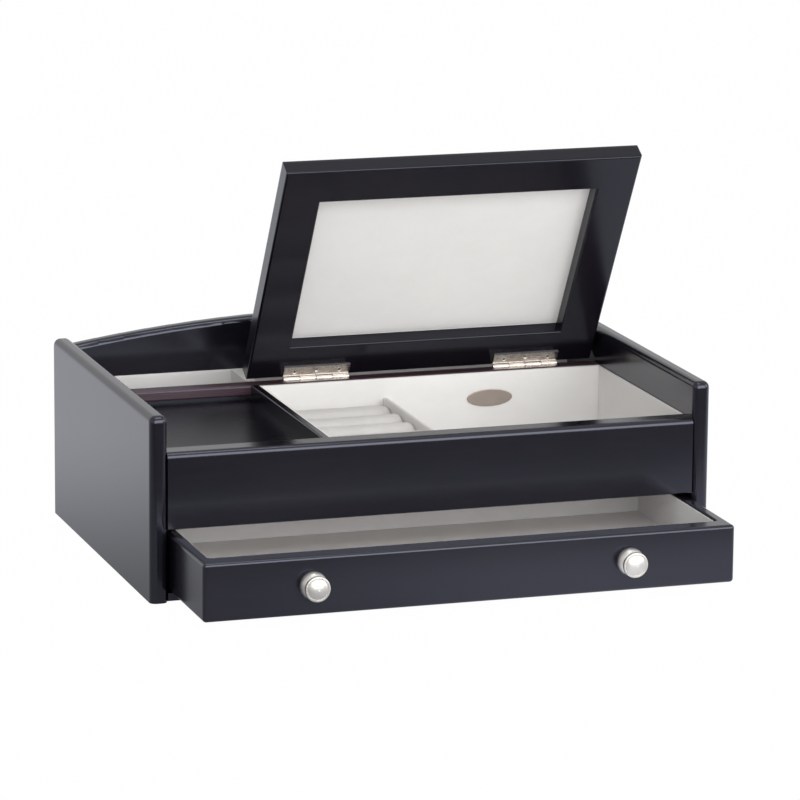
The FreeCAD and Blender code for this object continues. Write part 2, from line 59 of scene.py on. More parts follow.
def addCamera():
    yaw, pitch, roll = (math.radians(view[name]) for name in ("yaw", "pitch", "roll"))
    back = Vector((math.sin(yaw) * math.cos(pitch), -math.cos(yaw) * math.cos(pitch),
                   math.sin(pitch)))
    right = (-back).cross(Vector((0, 0, 1))).normalized()
    up = right.cross(-back)
    across = math.cos(roll) * right + math.sin(roll) * up
    upright = -math.sin(roll) * right + math.cos(roll) * up
    bpy.ops.object.camera_add()
    camera = bpy.context.object
    turned = Matrix((across, upright, back)).transposed().to_4x4()
    camera.matrix_world = Matrix.Translation(Vector(view["place"]) * mm) @ turned
    camera.data.lens = view["lens"]
    camera.data.sensor_width = view["sensor"]
    camera.data.clip_start = view["near"]
    camera.data.clip_end = view["far"]
    bpy.context.scene.camera = camera


bpy.ops.object.select_all(action="DESELECT")
addCamera()
bpy.context.scene.view_settings.view_transform = "Standard"
print("camera set")


# The finishes are node trees, written as sums of sockets.

class Wire:                                       # one output socket, usable in sums
    def __init__(self, tree, socket=None):
        self.tree = tree
        self.socket = socket

    def node(self, kind, settings=None, sockets=None, out=0):
        made = self.tree.nodes.new(kind)
        for name, value in (settings or {}).items():
            setattr(made, name, value)
        for name, value in (sockets or {}).items():
            if isinstance(value, Wire):
                self.tree.links.new(value.socket, made.inputs[name])
            else:
                made.inputs[name].default_value = value
        return Wire(self.tree, made.outputs[out] if len(made.outputs) else None)

    def beside(self, name):                       # another output of the same node
        return Wire(self.tree, self.socket.node.outputs[name])

    def sum(self, operation, first, second):
        return self.node("ShaderNodeMath", {"operation": operation}, {0: first, 1: second})

    def __add__(self, other):
        return self.sum("ADD", self, other)

    def __radd__(self, other):
        return self.sum("ADD", other, self)

    def __sub__(self, other):
        return self.sum("SUBTRACT", self, other)

    def __rsub__(self, other):
        return self.sum("SUBTRACT", other, self)

    def __mul__(self, other):
        return self.sum("MULTIPLY", self, other)

    def __rmul__(self, other):
        return self.sum("MULTIPLY", other, self)


def newFinish(name):
    material = bpy.data.materials.new(name)
    material.use_nodes = True
    material.node_tree.nodes.clear()
    return material, Wire(material.node_tree)


def color(red, green, blue):
    return (red, green, blue, 1.0)


def place(tree, turn=(0, 0, 0), stretch=(1, 1, 1)):
    spot = tree.node("ShaderNodeTexCoord", out="Object")
    return tree.node("ShaderNodeMapping", {"vector_type": "POINT"},
                     {"Vector": spot, "Rotation": turn, "Scale": stretch})


def cloud(tree, where, scale, detail=3.0, roughness=0.5, distortion=0.0):
    return tree.node("ShaderNodeTexNoise", {"noise_dimensions": "3D"},
                     {"Vector": where, "Scale": scale, "Detail": detail, "Roughness": roughness,
                      "Distortion": distortion})


def soften(tree, value, low, high, start=0.0, end=1.0):
    return tree.node("ShaderNodeMapRange", {"interpolation_type": "SMOOTHSTEP"},
                     {"Value": value, "From Min": low, "From Max": high, "To Min": start,
                      "To Max": end})


def tint(tree, amount, first, second):
    return tree.node("ShaderNodeMix", {"data_type": "RGBA"}, {0: amount, 6: first, 7: second},
                     out=2)


def bump(tree, height, strength, distance, under=None):
    sockets = {"Height": height, "Strength": strength, "Distance": distance}
    if under:
        sockets["Normal"] = under
    return tree.node("ShaderNodeBump", None, sockets)


def finishWith(tree, sockets):
    shader = tree.node("ShaderNodeBsdfPrincipled", {"distribution": "GGX"}, sockets)
    tree.node("ShaderNodeOutputMaterial", None, {"Surface": shader})


lacquerLook = {"dark": color(0.0040, 0.0034, 0.0060), "light": color(0.0078, 0.0058, 0.0090),
               "rough": 0.20, "roughSpread": 0.06, "ior": 1.65, "gloss": 0.50,
               "tint": color(0.77, 0.81, 1.0), "coat": 0.10, "coatRough": 0.10, "coatIor": 1.45,
               "grain": (1, 14, 14), "fibre": 42.0, "patch": 17.0, "haze": 6.5, "peel": 900.0,
               "fibreRelief": 0.00012, "peelRelief": 0.00006}
lidLook = dict(lacquerLook, ior=1.44)             # the lid's inner frame is less glossy
railLook = dict(lacquerLook, dark=color(0.0500, 0.0280, 0.0350),
                light=color(0.0820, 0.0500, 0.0600), rough=0.30, roughSpread=0.08, ior=1.5)


def lacquer(name, look, turn=(0, 0, 0)):
    material, tree = newFinish(name)
    along = place(tree, turn=turn, stretch=look["grain"])
    fibre = cloud(tree, along, look["fibre"], detail=5.0, roughness=0.62, distortion=0.15)
    patch = cloud(tree, place(tree), look["patch"], detail=2.0)
    haze = cloud(tree, place(tree), look["haze"], roughness=0.55)
    peel = cloud(tree, place(tree), look["peel"], detail=2.0)
    amount = soften(tree, fibre, 0.35, 0.7) * 0.45 + soften(tree, patch, 0.3, 0.75) * 0.55
    rough = look["rough"] + (haze - 0.5) * look["roughSpread"] + (fibre - 0.5) * 0.05
    orangePeel = bump(tree, peel, 0.06, look["peelRelief"])
    relief = bump(tree, fibre, 0.10, look["fibreRelief"], orangePeel)
    finishWith(tree, {"Base Color": tint(tree, amount, look["dark"], look["light"]),
                      "Roughness": rough, "IOR": look["ior"], "Specular IOR Level": look["gloss"],
                      "Specular Tint": look["tint"], "Coat Weight": look["coat"],
                      "Coat Roughness": look["coatRough"], "Coat IOR": look["coatIor"],
                      "Normal": relief})
    return material


fabricLook = {"ivory": color(0.835, 0.828, 0.820), "ivoryShade": color(0.810, 0.802, 0.792),
              # the drawer's lining is a neutral ivory, painted a little paler than the case's as
              # painted light for its shaded bay
              "drawer": color(0.86, 0.855, 0.86), "drawerShade": color(0.82, 0.815, 0.82),
              # the rolls' colours are the ivory painted darker: painted shade for how dim the
              # rolls sit in their row
              "roll": color(0.70, 0.692, 0.68), "rollShade": color(0.65, 0.642, 0.63),
              "felt": color(0.020, 0.020, 0.022), "feltLight": color(0.045, 0.045, 0.048)}
napLook = {"nap": 1500.0, "patch": 55.0, "wave": 21.0, "relief": 0.35, "napRelief": 0.00025,
           "waveRelief": 0.0012, "rough": 0.82, "roughSpread": 0.2, "gloss": 0.18, "sheen": 0.25,
           "sheenRough": 0.45, "sheenTint": color(1, 1, 1)}
rollNap = dict(napLook, nap=1300.0, patch=80.0, sheen=0.15, relief=0.45)
feltNap = dict(napLook, nap=1100.0, sheen=0.1)


def napped(name, deep, pale, look=napLook):       # brushed pile, with patches that lie another way
    material, tree = newFinish(name)
    spot = place(tree)
    pile = cloud(tree, spot, look["nap"], roughness=0.6)
    brushed = cloud(tree, place(tree, stretch=(1.0, 0.35, 1.6)), look["patch"], roughness=0.55,
                    distortion=0.6)
    wave = cloud(tree, spot, look["wave"], detail=2.0)
    amount = soften(tree, brushed, 0.32, 0.68) * 0.6 + soften(tree, pile, 0.3, 0.7) * 0.4
    waves = bump(tree, wave, 0.05, look["waveRelief"])
    relief = bump(tree, pile, look["relief"], look["napRelief"], waves)
    finishWith(tree, {"Base Color": tint(tree, amount, deep, pale),
                      "Roughness": look["rough"] + (pile - 0.5) * look["roughSpread"],
                      "Specular IOR Level": look["gloss"], "Sheen Weight": look["sheen"],
                      "Sheen Roughness": look["sheenRough"], "Sheen Tint": look["sheenTint"],
                      "Normal": relief})
    return material


knobMetal = {"pale": color(0.80, 0.775, 0.74), "deep": color(0.69, 0.665, 0.63), "rough": 0.43}
screwMetal = {"pale": color(0.80, 0.775, 0.74), "deep": color(0.66, 0.63, 0.60), "rough": 0.33}
hingeMetal = {"pale": color(0.72, 0.675, 0.63), "deep": color(0.58, 0.54, 0.505), "rough": 0.26}
plateMetal = {"pale": color(0.535, 0.460, 0.410), "deep": color(0.43, 0.365, 0.325),
              "rough": 0.36}
# a near-black nickel that paints shade into the screws' slots and onto the hinge pins
paintedShadeMetal = {"pale": color(0.16, 0.14, 0.13), "deep": color(0.08, 0.07, 0.065), "rough": 0.5}
brushLook = {"lines": 60.0, "smear": 140.0, "relief": 0.12, "depth": 0.00005}
latheLook = {"rings": 5200.0, "smear": 160.0, "relief": 0.10, "depth": 0.00003}


def nickel(name, look, stretch=(1, 40, 40)):
    material, tree = newFinish(name)
    along = place(tree, stretch=stretch)
    brushed = cloud(tree, along, brushLook["lines"], detail=4.0, roughness=0.6)
    smear = cloud(tree, place(tree), brushLook["smear"], detail=2.0)
    amount = 0.35 + soften(tree, brushed, 0.2, 0.8) * 0.35 + soften(tree, smear, 0.2, 0.8) * 0.3
    roughness = look["rough"] + (brushed - 0.5) * 0.10 + (smear - 0.5) * 0.05
    relief = bump(tree, brushed, brushLook["relief"], brushLook["depth"])
    finishWith(tree, {"Base Color": tint(tree, amount, look["deep"], look["pale"]),
                      "Metallic": 1.0, "Roughness": roughness, "Normal": relief})
    return material


def turnedNickel(name, look, centre):             # fine lathe rings round a knob's own axis
    material, tree = newFinish(name)
    spot = tree.node("ShaderNodeVectorMath", {"operation": "SUBTRACT"},
                     {0: tree.node("ShaderNodeTexCoord", out="Object"), 1: centre})
    flat = tree.node("ShaderNodeVectorMath", {"operation": "MULTIPLY"}, {0: spot, 1: (1, 0, 1)})
    reach = tree.node("ShaderNodeVectorMath", {"operation": "LENGTH"}, {0: flat}, out="Value")
    rings = tree.node("ShaderNodeTexNoise", {"noise_dimensions": "1D"},
                      {"W": reach, "Scale": latheLook["rings"], "Detail": 3.0, "Roughness": 0.6})
    smear = cloud(tree, spot, latheLook["smear"], detail=2.0)
    amount = soften(tree, rings, 0.3, 0.7) * 0.4 + soften(tree, smear, 0.3, 0.7) * 0.6
    roughness = look["rough"] + (rings - 0.5) * 0.12 + (smear - 0.5) * 0.06
    relief = bump(tree, rings, latheLook["relief"], latheLook["depth"])
    finishWith(tree, {"Base Color": tint(tree, amount, look["deep"], look["pale"]),
                      "Metallic": 1.0, "Roughness": roughness, "Normal": relief})
    return material


leatherLook = {"dark": color(0.0035, 0.0037, 0.0060), "light": color(0.0055, 0.0058, 0.0090),
               "tint": color(0.74, 0.83, 1.0), "rough": 0.27, "gloss": 0.12, "pebble": 1400.0,
               "patch": 26.0, "relief": 0.00004}


def leatherette(name, look):                      # smooth synthetic leather with a fine pebble
    material, tree = newFinish(name)
    pebble = cloud(tree, place(tree), look["pebble"], detail=2.0)
    patch = cloud(tree, place(tree), look["patch"], detail=2.0)
    amount = soften(tree, patch, 0.3, 0.7)
    finishWith(tree, {"Base Color": tint(tree, amount, look["dark"], look["light"]),
                      "Roughness": look["rough"] + (patch - 0.5) * 0.04,
                      "Specular IOR Level": look["gloss"], "Specular Tint": look["tint"],
                      "Normal": bump(tree, pebble, 0.04, look["relief"])})
    return material


boardLook = {"dark": color(0.165, 0.105, 0.065), "light": color(0.285, 0.190, 0.120),
             "rough": 0.72, "roughSpread": 0.2, "gloss": 0.3, "grain": 38.0, "pore": 420.0,
             "grainRelief": 0.0003, "poreRelief": 0.0002}


def rawBoard(name, look):
    material, tree = newFinish(name)
    grain = cloud(tree, place(tree, stretch=(1, 22, 22)), look["grain"], detail=6.0,
                  roughness=0.65, distortion=0.4)
    pore = cloud(tree, place(tree, stretch=(1, 9, 9)), look["pore"], roughness=0.6)
    amount = soften(tree, grain, 0.3, 0.7) * 0.7 + soften(tree, pore, 0.35, 0.65) * 0.3
    streaks = bump(tree, grain, 0.25, look["grainRelief"])
    relief = bump(tree, pore, 0.3, look["poreRelief"], streaks)
    finishWith(tree, {"Base Color": tint(tree, amount, look["dark"], look["light"]),
                      "Roughness": look["rough"] + (grain - 0.5) * look["roughSpread"],
                      "Specular IOR Level": look["gloss"], "Normal": relief})
    return material


deepways = (0, 0, math.pi / 2)                    # grain that runs front to back
boxLacquer = lacquer("espressoLacquer", lacquerLook)
sideLacquer = lacquer("espressoLacquerSides", lacquerLook, turn=deepways)
railLacquer = lacquer("railLacquer", railLook)
lidLacquer = lacquer("lidLacquer", lidLook)
lidSideLacquer = lacquer("lidLacquerSides", lidLook, turn=deepways)
ivoryVelvet = napped("ivoryVelvet", fabricLook["ivoryShade"], fabricLook["ivory"])
drawerVelvet = napped("drawerVelvet", fabricLook["drawerShade"], fabricLook["drawer"])
# the rolls' velvet carries painted shade in its darker colours
shadedRollVelvet = napped("shadedRollVelvet", fabricLook["rollShade"], fabricLook["roll"], rollNap)
trayLeather = leatherette("trayLeather", leatherLook)
baseFelt = napped("baseFelt", fabricLook["felt"], fabricLook["feltLight"], feltNap)
hingeNickel = nickel("hingeNickel", hingeMetal, stretch=(1, 25, 25))
screwNickel = nickel("screwNickel", screwMetal, stretch=(40, 1, 40))
paintedShadeNickel = nickel("paintedShadeNickel", paintedShadeMetal)
plateSatin = nickel("plateSatin", plateMetal, stretch=(1, 90, 90))
plainBoard = rawBoard("plainBoard", boardLook)
print("finishes made")


def camel(name, ending=""):
    words = name.split("_")
    return words[0] + "".join(word.capitalize() for word in words[1:]) + ending


def dress(finish, *names):
    for name in names:
        for slot in nodes[name].material_slots:
            slot.material = finish


dress(boxLacquer, "front_panel", "back_panel", "bottom_panel", "rear_wall_board", "lid_top_board",
      "drawer_front", "drawer_back")
dress(sideLacquer, "left_side_panel", "right_side_panel", "compartment_divider",
      "drawer_left_side", "drawer_right_side")
dress(lidLacquer, "lid_front_rail", "lid_rear_rail")
dress(lidSideLacquer, "lid_left_stile", "lid_right_stile")
dress(trayLeather, "coin_tray_floor_lining")
dress(railLacquer, "hinge_rail")
dress(plainBoard, "compartment_deck", "coin_tray_board", "coin_tray_cleats",
      "drawer_stops", "drawer_bottom")
dress(hingeNickel, "left_hinge_case_leaf", "right_hinge_case_leaf", "left_hinge_lid_leaf",
      "right_hinge_lid_leaf")
dress(screwNickel, "knob_bolts")
# the hinge pins take the same painted shade
dress(paintedShadeNickel, "hinge_pins")
for knobName in ("drawer_left_knob", "drawer_right_knob"):
    knobLow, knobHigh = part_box(knobName)
    knobMiddle = (Vector(knobLow) + Vector(knobHigh)) / 2
    knobCentre = (knobMiddle.x, 0, knobMiddle.z)
    dress(turnedNickel(camel(knobName, "Finish"), knobMetal, knobCentre), knobName)
print("cad boards and metal dressed")


# Next come the steps that shape a piece by hand: pick it, choose faces or edges, finish it.
facing = 0.99                                     # a face this square to a side points that way
smoothAngle = math.radians(40)


def pick(piece):
    if bpy.context.object and bpy.context.object.mode != "OBJECT":
        bpy.ops.object.mode_set(mode="OBJECT")
    bpy.ops.object.select_all(action="DESELECT")
    piece.select_set(True)
    bpy.context.view_layer.objects.active = piece


def edit(piece, kind="FACE"):                     # edit mode, nothing selected
    pick(piece)
    bpy.ops.object.mode_set(mode="EDIT")
    bpy.ops.mesh.select_mode(type=kind)
    bpy.ops.mesh.select_all(action="DESELECT")


def chooseFaces(piece, test):
    edit(piece)
    bpy.ops.object.mode_set(mode="OBJECT")
    for face in piece.data.polygons:
        face.select = test(face.center, face.normal)
    bpy.ops.object.mode_set(mode="EDIT")


def chooseSide(piece, side):                      # the faces that point one way
    aim = Vector(side)
    chooseFaces(piece, lambda centre, normal: normal.dot(aim) > facing)


def chooseEdges(piece, test):
    edit(piece, "EDGE")
    bpy.ops.object.mode_set(mode="OBJECT")
    for edge in piece.data.edges:
        first, last = (piece.data.vertices[index].co for index in edge.vertices)
        edge.select = test(first, last)
    bpy.ops.object.mode_set(mode="EDIT")


def block(name, low, high):
    bpy.ops.object.select_all(action="DESELECT")
    middle = (low + high) / 2
    bpy.ops.mesh.primitive_cube_add(size=1, location=middle, scale=high - low)
    piece = bpy.context.object
    piece.name = name
    bpy.ops.object.transform_apply(location=True, rotation=True, scale=True)
    return piece


def applyModifier(piece, kind, **settings):
    pick(piece)
    modifier = piece.modifiers.new(kind.lower(), kind)
    for name, value in settings.items():
        setattr(modifier, name, value)
    bpy.ops.object.modifier_apply(modifier=modifier.name)


def settle(piece, body, slot, finish, *replaced):  # with no finish given, a piece keeps its own
    pick(piece)
    bpy.ops.object.transform_apply(location=True, rotation=True, scale=True)
    if finish:
        piece.data.materials.clear()
        piece.data.materials.append(finish)
    bpy.ops.object.shade_smooth_by_angle(angle=smoothAngle)
    piece.select_set(False)
    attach(piece, body)
    if replaced:
        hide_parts(*replaced)


def corners(name):
    return [Vector(corner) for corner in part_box(name)]


# The linings are card boards wrapped in cloth, with a face that rises and falls a little. Sizes
# are in millimetres, the wave in metres.
wrapLook = {"edge": 0.45, "segments": 3, "ripple": 0.16, "wave": 0.022, "cell": 5.0, "border": 5.0,
            "fewest": 6, "most": 40, "low": 0.35, "largest": 0.9, "skin": 0.02}


def ripple(piece, side, low, high, look):
    # the visible face becomes a grid, and its middle rises and falls a little
    span = max(high[axis] - low[axis] for axis in range(3))
    cuts = min(look["most"], max(look["fewest"], int(span / (look["cell"] * mm))))
    chooseSide(piece, side)
    bpy.ops.object.mode_set(mode="OBJECT")
    widest = max(face.area for face in piece.data.polygons if face.select)
    for face in piece.data.polygons:
        face.select = face.select and face.area > look["largest"] * widest
    bpy.ops.object.mode_set(mode="EDIT")
    bpy.ops.mesh.subdivide(number_cuts=cuts)
    bpy.ops.object.mode_set(mode="OBJECT")
    top = max(vertex.co.dot(side) for vertex in piece.data.vertices)
    flat = [axis for axis in range(3) if abs(side[axis]) < 0.5]
    for vertex in piece.data.vertices:
        if vertex.co.dot(side) < top - look["skin"] * mm:
            continue
        inside = min(min(vertex.co[axis] - low[axis], high[axis] - vertex.co[axis])
                     for axis in flat)
        fade = max(0.0, min(1.0, inside / (look["border"] * mm)))
        swell = noise.noise(vertex.co / look["wave"]) - look["low"]
        vertex.co += side * (look["ripple"] * mm * fade * fade * swell)


def wrappedBoard(name, low, high, side, look=wrapLook):
    piece = block(name, low, high)
    edit(piece)
    bpy.ops.mesh.select_all(action="SELECT")
    bpy.ops.mesh.bevel(offset=look["edge"] * mm, segments=look["segments"], affect="EDGES")
    ripple(piece, Vector(side), low, high, look)
    return piece


front, back, left, right = (0, -1, 0), (0, 1, 0), (-1, 0, 0), (1, 0, 0)
up, down = (0, 0, 1), (0, 0, -1)
caseLinings = {"compartment_floor_lining": up, "compartment_front_lining": back,
               "compartment_left_lining": right, "compartment_right_lining": left,
               "pocket_floor_lining": up, "pocket_front_lining": back, "pocket_back_lining": front,
               "pocket_partition_lining": left, "pocket_partition": right}
drawerLinings = {"drawer_floor_lining": up, "drawer_front_lining": back,
                 "drawer_back_lining": front}

for liningBody, velvet, linings in (("case", ivoryVelvet, caseLinings),
                                    ("drawer", drawerVelvet, drawerLinings)):
    for liningNode, liningSide in linings.items():
        lining = wrappedBoard(camel(liningNode), *corners(liningNode), liningSide)
        settle(lining, liningBody, "ivory_lining", velvet, liningNode)

thinLook = dict(wrapLook, edge=0.18, thick=0.55)


def drawerSideLinings():
    low, high = corners("drawer_side_linings")
    thick = thinLook["thick"] * mm
    made = []
    for side, start, end in ((right, low.x, low.x + thick), (left, high.x - thick, high.x)):
        made.append(wrappedBoard("sideLining", Vector((start, low.y, low.z)),
                                 Vector((end, high.y, high.z)), side, thinLook))
    pick(made[0])
    made[1].select_set(True)
    bpy.ops.object.join()
    made[0].name = "drawerSideLinings"
    settle(made[0], "drawer", "ivory_lining", drawerVelvet, "drawer_side_linings")


drawerSideLinings()

backLook = {"railFront": 40.2, "railUnder": 72.7, "clear": 0.05, "flatAngle": 1, "edgeAngle": 30}


def compartmentBack():                            # thick, and its top slips in front of the rail
    low, high = corners("compartment_back_lining")
    shoulder = (backLook["railUnder"] - backLook["clear"]) * mm
    cut = (backLook["railFront"] - backLook["clear"]) * mm
    piece = block("compartmentBackLining", low, Vector((high.x, high.y, shoulder)))
    edit(piece)
    bpy.ops.mesh.select_all(action="SELECT")
    bpy.ops.mesh.bisect(plane_co=(0, cut, 0), plane_no=(0, 1, 0))
    chooseFaces(piece, lambda centre, normal: normal.z > facing and centre.y < cut)
    bpy.ops.mesh.extrude_region_move(TRANSFORM_OT_translate={"value": (0, 0, high.z - shoulder)})
    bpy.ops.mesh.select_all(action="SELECT")
    bpy.ops.mesh.dissolve_limited(angle_limit=math.radians(backLook["flatAngle"]))
    bpy.ops.object.mode_set(mode="OBJECT")
    applyModifier(piece, "BEVEL", width=wrapLook["edge"] * mm, segments=wrapLook["segments"],
                  limit_method="ANGLE", angle_limit=math.radians(backLook["edgeAngle"]))
    ripple(piece, Vector(front), low, high, wrapLook)
    settle(piece, "case", "ivory_lining", ivoryVelvet, "compartment_back_lining")


compartmentBack()

dividerLook = dict(wrapLook, edge=1.0, segments=4, ripple=0.25, wave=0.016, cell=4.0, border=4.0)
ringDivider = wrappedBoard("ringDivider", *corners("ring_divider"), right, dividerLook)
settle(ringDivider, "case", "ivory_lining", ivoryVelvet, "ring_divider")


# The lid's panel is made with the lid shut, and turned open with it.
lidPanelLook = dict(wrapLook, edge=0.5, ripple=0.35, wave=0.045, border=9.0)


def lidPanel():
    shut = [closeLid @ vertex.co for vertex in nodes["lid_lining"].data.vertices]
    low = Vector([min(spot[axis] for spot in shut) for axis in range(3)])
    high = Vector([max(spot[axis] for spot in shut) for axis in range(3)])
    piece = wrappedBoard("lidLining", low, high, down, lidPanelLook)
    piece.matrix_world = openLid @ piece.matrix_world
    settle(piece, "lid", "ivory_lining", ivoryVelvet, "lid_lining")


lidPanel()

feltLook = dict(wrapLook, edge=0.35, ripple=0.1, wave=0.02, cell=6.0, border=3.0)
feltPad = wrappedBoard("feltPad", *corners("base_felt"), up, feltLook)
settle(feltPad, "case", "base_felt", baseFelt, "base_felt")
print("linings made")


# The ring rolls are foam sewn into velvet: one is shaped and puffed, and each copy of it gets its
# own folds. A fold's cells are in metres.
rollLook = {"shrink": 0.75, "arch": 9.0, "archSegments": 8, "ends": 3.2, "endSegments": 4,
            "voxel": 1.5, "keepIn": 0.03, "count": 6}
puffLook = {"pressure": 3.0, "mass": 0.15, "shrink": -0.03, "quality": 6, "frames": 20, "cap": 0.8}
foldLook = {"gather": 0.30, "middle": 0.35, "fold": (0.0045, 0.02, 0.02), "foldStep": 3.7,
            "softness": 0.8, "soft": (0.016, 0.012, 0.012), "softStep": -2.3,
            "sag": 0.8, "leastSag": 0.3, "sagStep": 0.25}


def puff(piece, look):
    scene = bpy.context.scene
    before = [vertex.co.copy() for vertex in piece.data.vertices]
    pick(piece)
    cloth = piece.modifiers.new("puff", "CLOTH")
    cloth.settings.use_pressure = True
    cloth.settings.uniform_pressure_force = look["pressure"]
    cloth.settings.effector_weights.gravity = 0.0
    cloth.settings.quality = look["quality"]
    cloth.settings.mass = look["mass"]
    cloth.settings.shrink_min = look["shrink"]
    cloth.point_cache.frame_start = 1
    cloth.point_cache.frame_end = look["frames"]
    for step in range(1, look["frames"] + 1):
        scene.frame_set(step)
    grown = piece.evaluated_get(bpy.context.evaluated_depsgraph_get())
    after = [vertex.co.copy() for vertex in grown.data.vertices]
    piece.modifiers.remove(cloth)
    scene.frame_set(1)
    for vertex, start, end in zip(piece.data.vertices, before, after):
        move = end - start
        if move.length > look["cap"] * mm:
            move *= look["cap"] * mm / move.length
        vertex.co = start + move


def firstRoll():
    low, high = corners("ring_roll_1")
    room = Vector((rollLook["shrink"] * mm,) * 3)
    piece = block("roll", low + room, high - room)
    peak = high.z - room.z
    hair = 0.01 * mm
    chooseEdges(piece, lambda first, last: min(first.z, last.z) > peak - hair
                and abs(first.x - last.x) > 1 * mm)
    bpy.ops.mesh.bevel(offset=rollLook["arch"] * mm, segments=rollLook["archSegments"],
                       affect="EDGES")
    chooseEdges(piece, lambda first, last: abs(first.x - last.x) < hair)
    bpy.ops.mesh.bevel(offset=rollLook["ends"] * mm, segments=rollLook["endSegments"],
                       affect="EDGES")
    bpy.ops.object.mode_set(mode="OBJECT")
    piece.data.remesh_voxel_size = rollLook["voxel"] * mm
    bpy.ops.object.voxel_remesh()
    puff(piece, puffLook)
    return piece


def foldAt(spot, cell, shift):
    return noise.noise(Vector((spot.x / cell[0], spot.y / cell[1], spot.z / cell[2] + shift)))


def shapeRoll(piece, index, low, high):
    # the ends gather into the seam, and the middle sags a little
    middle = (low.x + high.x) / 2
    reach = (high.x - low.x) / 2
    sag = foldLook["sag"] * (foldLook["leastSag"] + foldLook["sagStep"] * (index % 3))
    room = rollLook["keepIn"] * mm
    for vertex in piece.data.vertices:
        across = (vertex.co.x - middle) / reach
        height = max(0.0, (vertex.co.z - low.z) / (high.z - low.z))
        fold = foldAt(vertex.co, foldLook["fold"], foldLook["foldStep"] * index)
        soft = foldAt(vertex.co, foldLook["soft"], foldLook["softStep"] * index)
        gather = fold * (foldLook["middle"] + across ** 4) + soft * foldLook["softness"]
        vertex.co.z += height * mm * (foldLook["gather"] * gather - sag * (1 - across * across))
        for axis in range(3):
            vertex.co[axis] = min(high[axis] - room, max(low[axis] + room, vertex.co[axis]))


def ringRolls():
    master = firstRoll()
    start = corners("ring_roll_1")[0]
    for index in range(1, rollLook["count"] + 1):
        nodeName = "ring_roll_%d" % index
        low, high = corners(nodeName)
        piece = master.copy()
        piece.data = master.data.copy()
        piece.name = "ringRoll%d" % index
        bpy.context.collection.objects.link(piece)
        pick(piece)
        piece.location = (0, low.y - start.y, 0)
        bpy.ops.object.transform_apply(location=True, rotation=True, scale=True)
        shapeRoll(piece, index, low, high)
        applyModifier(piece, "SUBSURF", levels=1, render_levels=1)
        settle(piece, "case", "ring_roll_velvet", shadedRollVelvet, nodeName)
    bpy.data.objects.remove(master)


ringRolls()
print("ring rolls made")


# The hinges' screws: one is made head upwards, then copied and turned.
screwLook = {"around": 40, "head": 1.5, "headDepth": 0.8, "shank": 0.7, "length": 5.0, "tip": 1.0,
             "taper": 0.25, "rim": 0.1, "rimRise": 0.05, "crown": 0.675, "crownRise": 0.04,
             "slot": 0.50, "slotReach": 2.10, "slotDepth": 0.45, "slotTurn": 0.35, "turnEach": 0.8,
             "inset": 6.0, "fromAxis": 4.8, "sunk": 0.05, "starts": (-36.86, 83.84),
             "leafLength": 37.5, "caseTop": 78.5, "lidTop": 79.14}


def raiseBy(height):
    bpy.ops.transform.translate(value=(0, 0, height * mm))


def drawDown(depth):
    bpy.ops.mesh.extrude_region_move(TRANSFORM_OT_translate={"value": (0, 0, -depth * mm)})


def oneScrew():                                   # its head's top at the origin
    headDepth = screwLook["headDepth"] * mm
    bpy.ops.object.select_all(action="DESELECT")
    bpy.ops.mesh.primitive_cone_add(vertices=screwLook["around"], radius1=screwLook["shank"] * mm,
                                    radius2=screwLook["head"] * mm, depth=headDepth,
                                    location=(0, 0, -headDepth / 2))
    screw = bpy.context.object
    screw.data.materials.append(screwNickel)
    bpy.ops.object.transform_apply(location=True, rotation=True, scale=True)
    chooseSide(screw, up)
    bpy.ops.mesh.inset(thickness=screwLook["rim"] * mm)
    raiseBy(screwLook["rimRise"])
    bpy.ops.mesh.inset(thickness=screwLook["crown"] * mm)
    raiseBy(screwLook["crownRise"])
    chooseSide(screw, down)
    drawDown(screwLook["length"] - screwLook["headDepth"] - screwLook["tip"])
    drawDown(screwLook["tip"])
    bpy.ops.transform.resize(value=(screwLook["taper"], screwLook["taper"], 1))
    bpy.ops.object.mode_set(mode="OBJECT")
    for turn in (screwLook["slotTurn"], screwLook["slotTurn"] + math.pi / 2):
        bpy.ops.object.select_all(action="DESELECT")
        bpy.ops.mesh.primitive_cube_add(size=1, location=(0, 0, 0), rotation=(0, 0, turn),
                                        scale=(screwLook["slotReach"] * mm, screwLook["slot"] * mm,
                                               screwLook["slotDepth"] * 2 * mm))
        tool = bpy.context.object
        # the slot's walls take the near-black nickel as painted shade
        tool.data.materials.append(paintedShadeNickel)
        applyModifier(screw, "BOOLEAN", operation="DIFFERENCE", solver="EXACT", object=tool,
                      material_mode="TRANSFER")
        bpy.data.objects.remove(tool)
    return screw


def hingeScrews():
    master = oneScrew()
    inset = screwLook["inset"]
    back = lidHinge["y"] / mm - screwLook["fromAxis"]
    for name, nodeName, body, height, flip in (
            ("caseHingeScrews", "case_hinge_screws", "case", screwLook["caseTop"], 0),
            ("lidHingeScrews", "lid_hinge_screws", "lid", screwLook["lidTop"], math.pi)):
        sunk = screwLook["sunk"] * (1 if flip else -1)
        group = []
        for start in screwLook["starts"]:
            for x in (start + inset, start + screwLook["leafLength"] - inset):
                screw = master.copy()
                screw.data = master.data.copy()
                bpy.context.collection.objects.link(screw)
                screw.location = Vector((x, back, height + sunk)) * mm
                screw.rotation_euler = (flip, 0, screwLook["turnEach"] * len(group))
                pick(screw)
                bpy.ops.object.transform_apply(location=True, rotation=True, scale=True)
                group.append(screw)
        pick(group[0])
        for screw in group[1:]:
            screw.select_set(True)
        bpy.ops.object.join()
        group[0].name = name
        if flip:
            group[0].matrix_world = openLid @ group[0].matrix_world
        settle(group[0], body, "satin_nickel", None, nodeName)
    bpy.data.objects.remove(master)


hingeScrews()
print("screws made")


# The oval plate on the back lining is blank, with a raised rim.
plateLook = {"around": 96, "rim": 0.55, "sink": 0.14, "edge": 0.12, "segments": 3, "edgeAngle": 50}


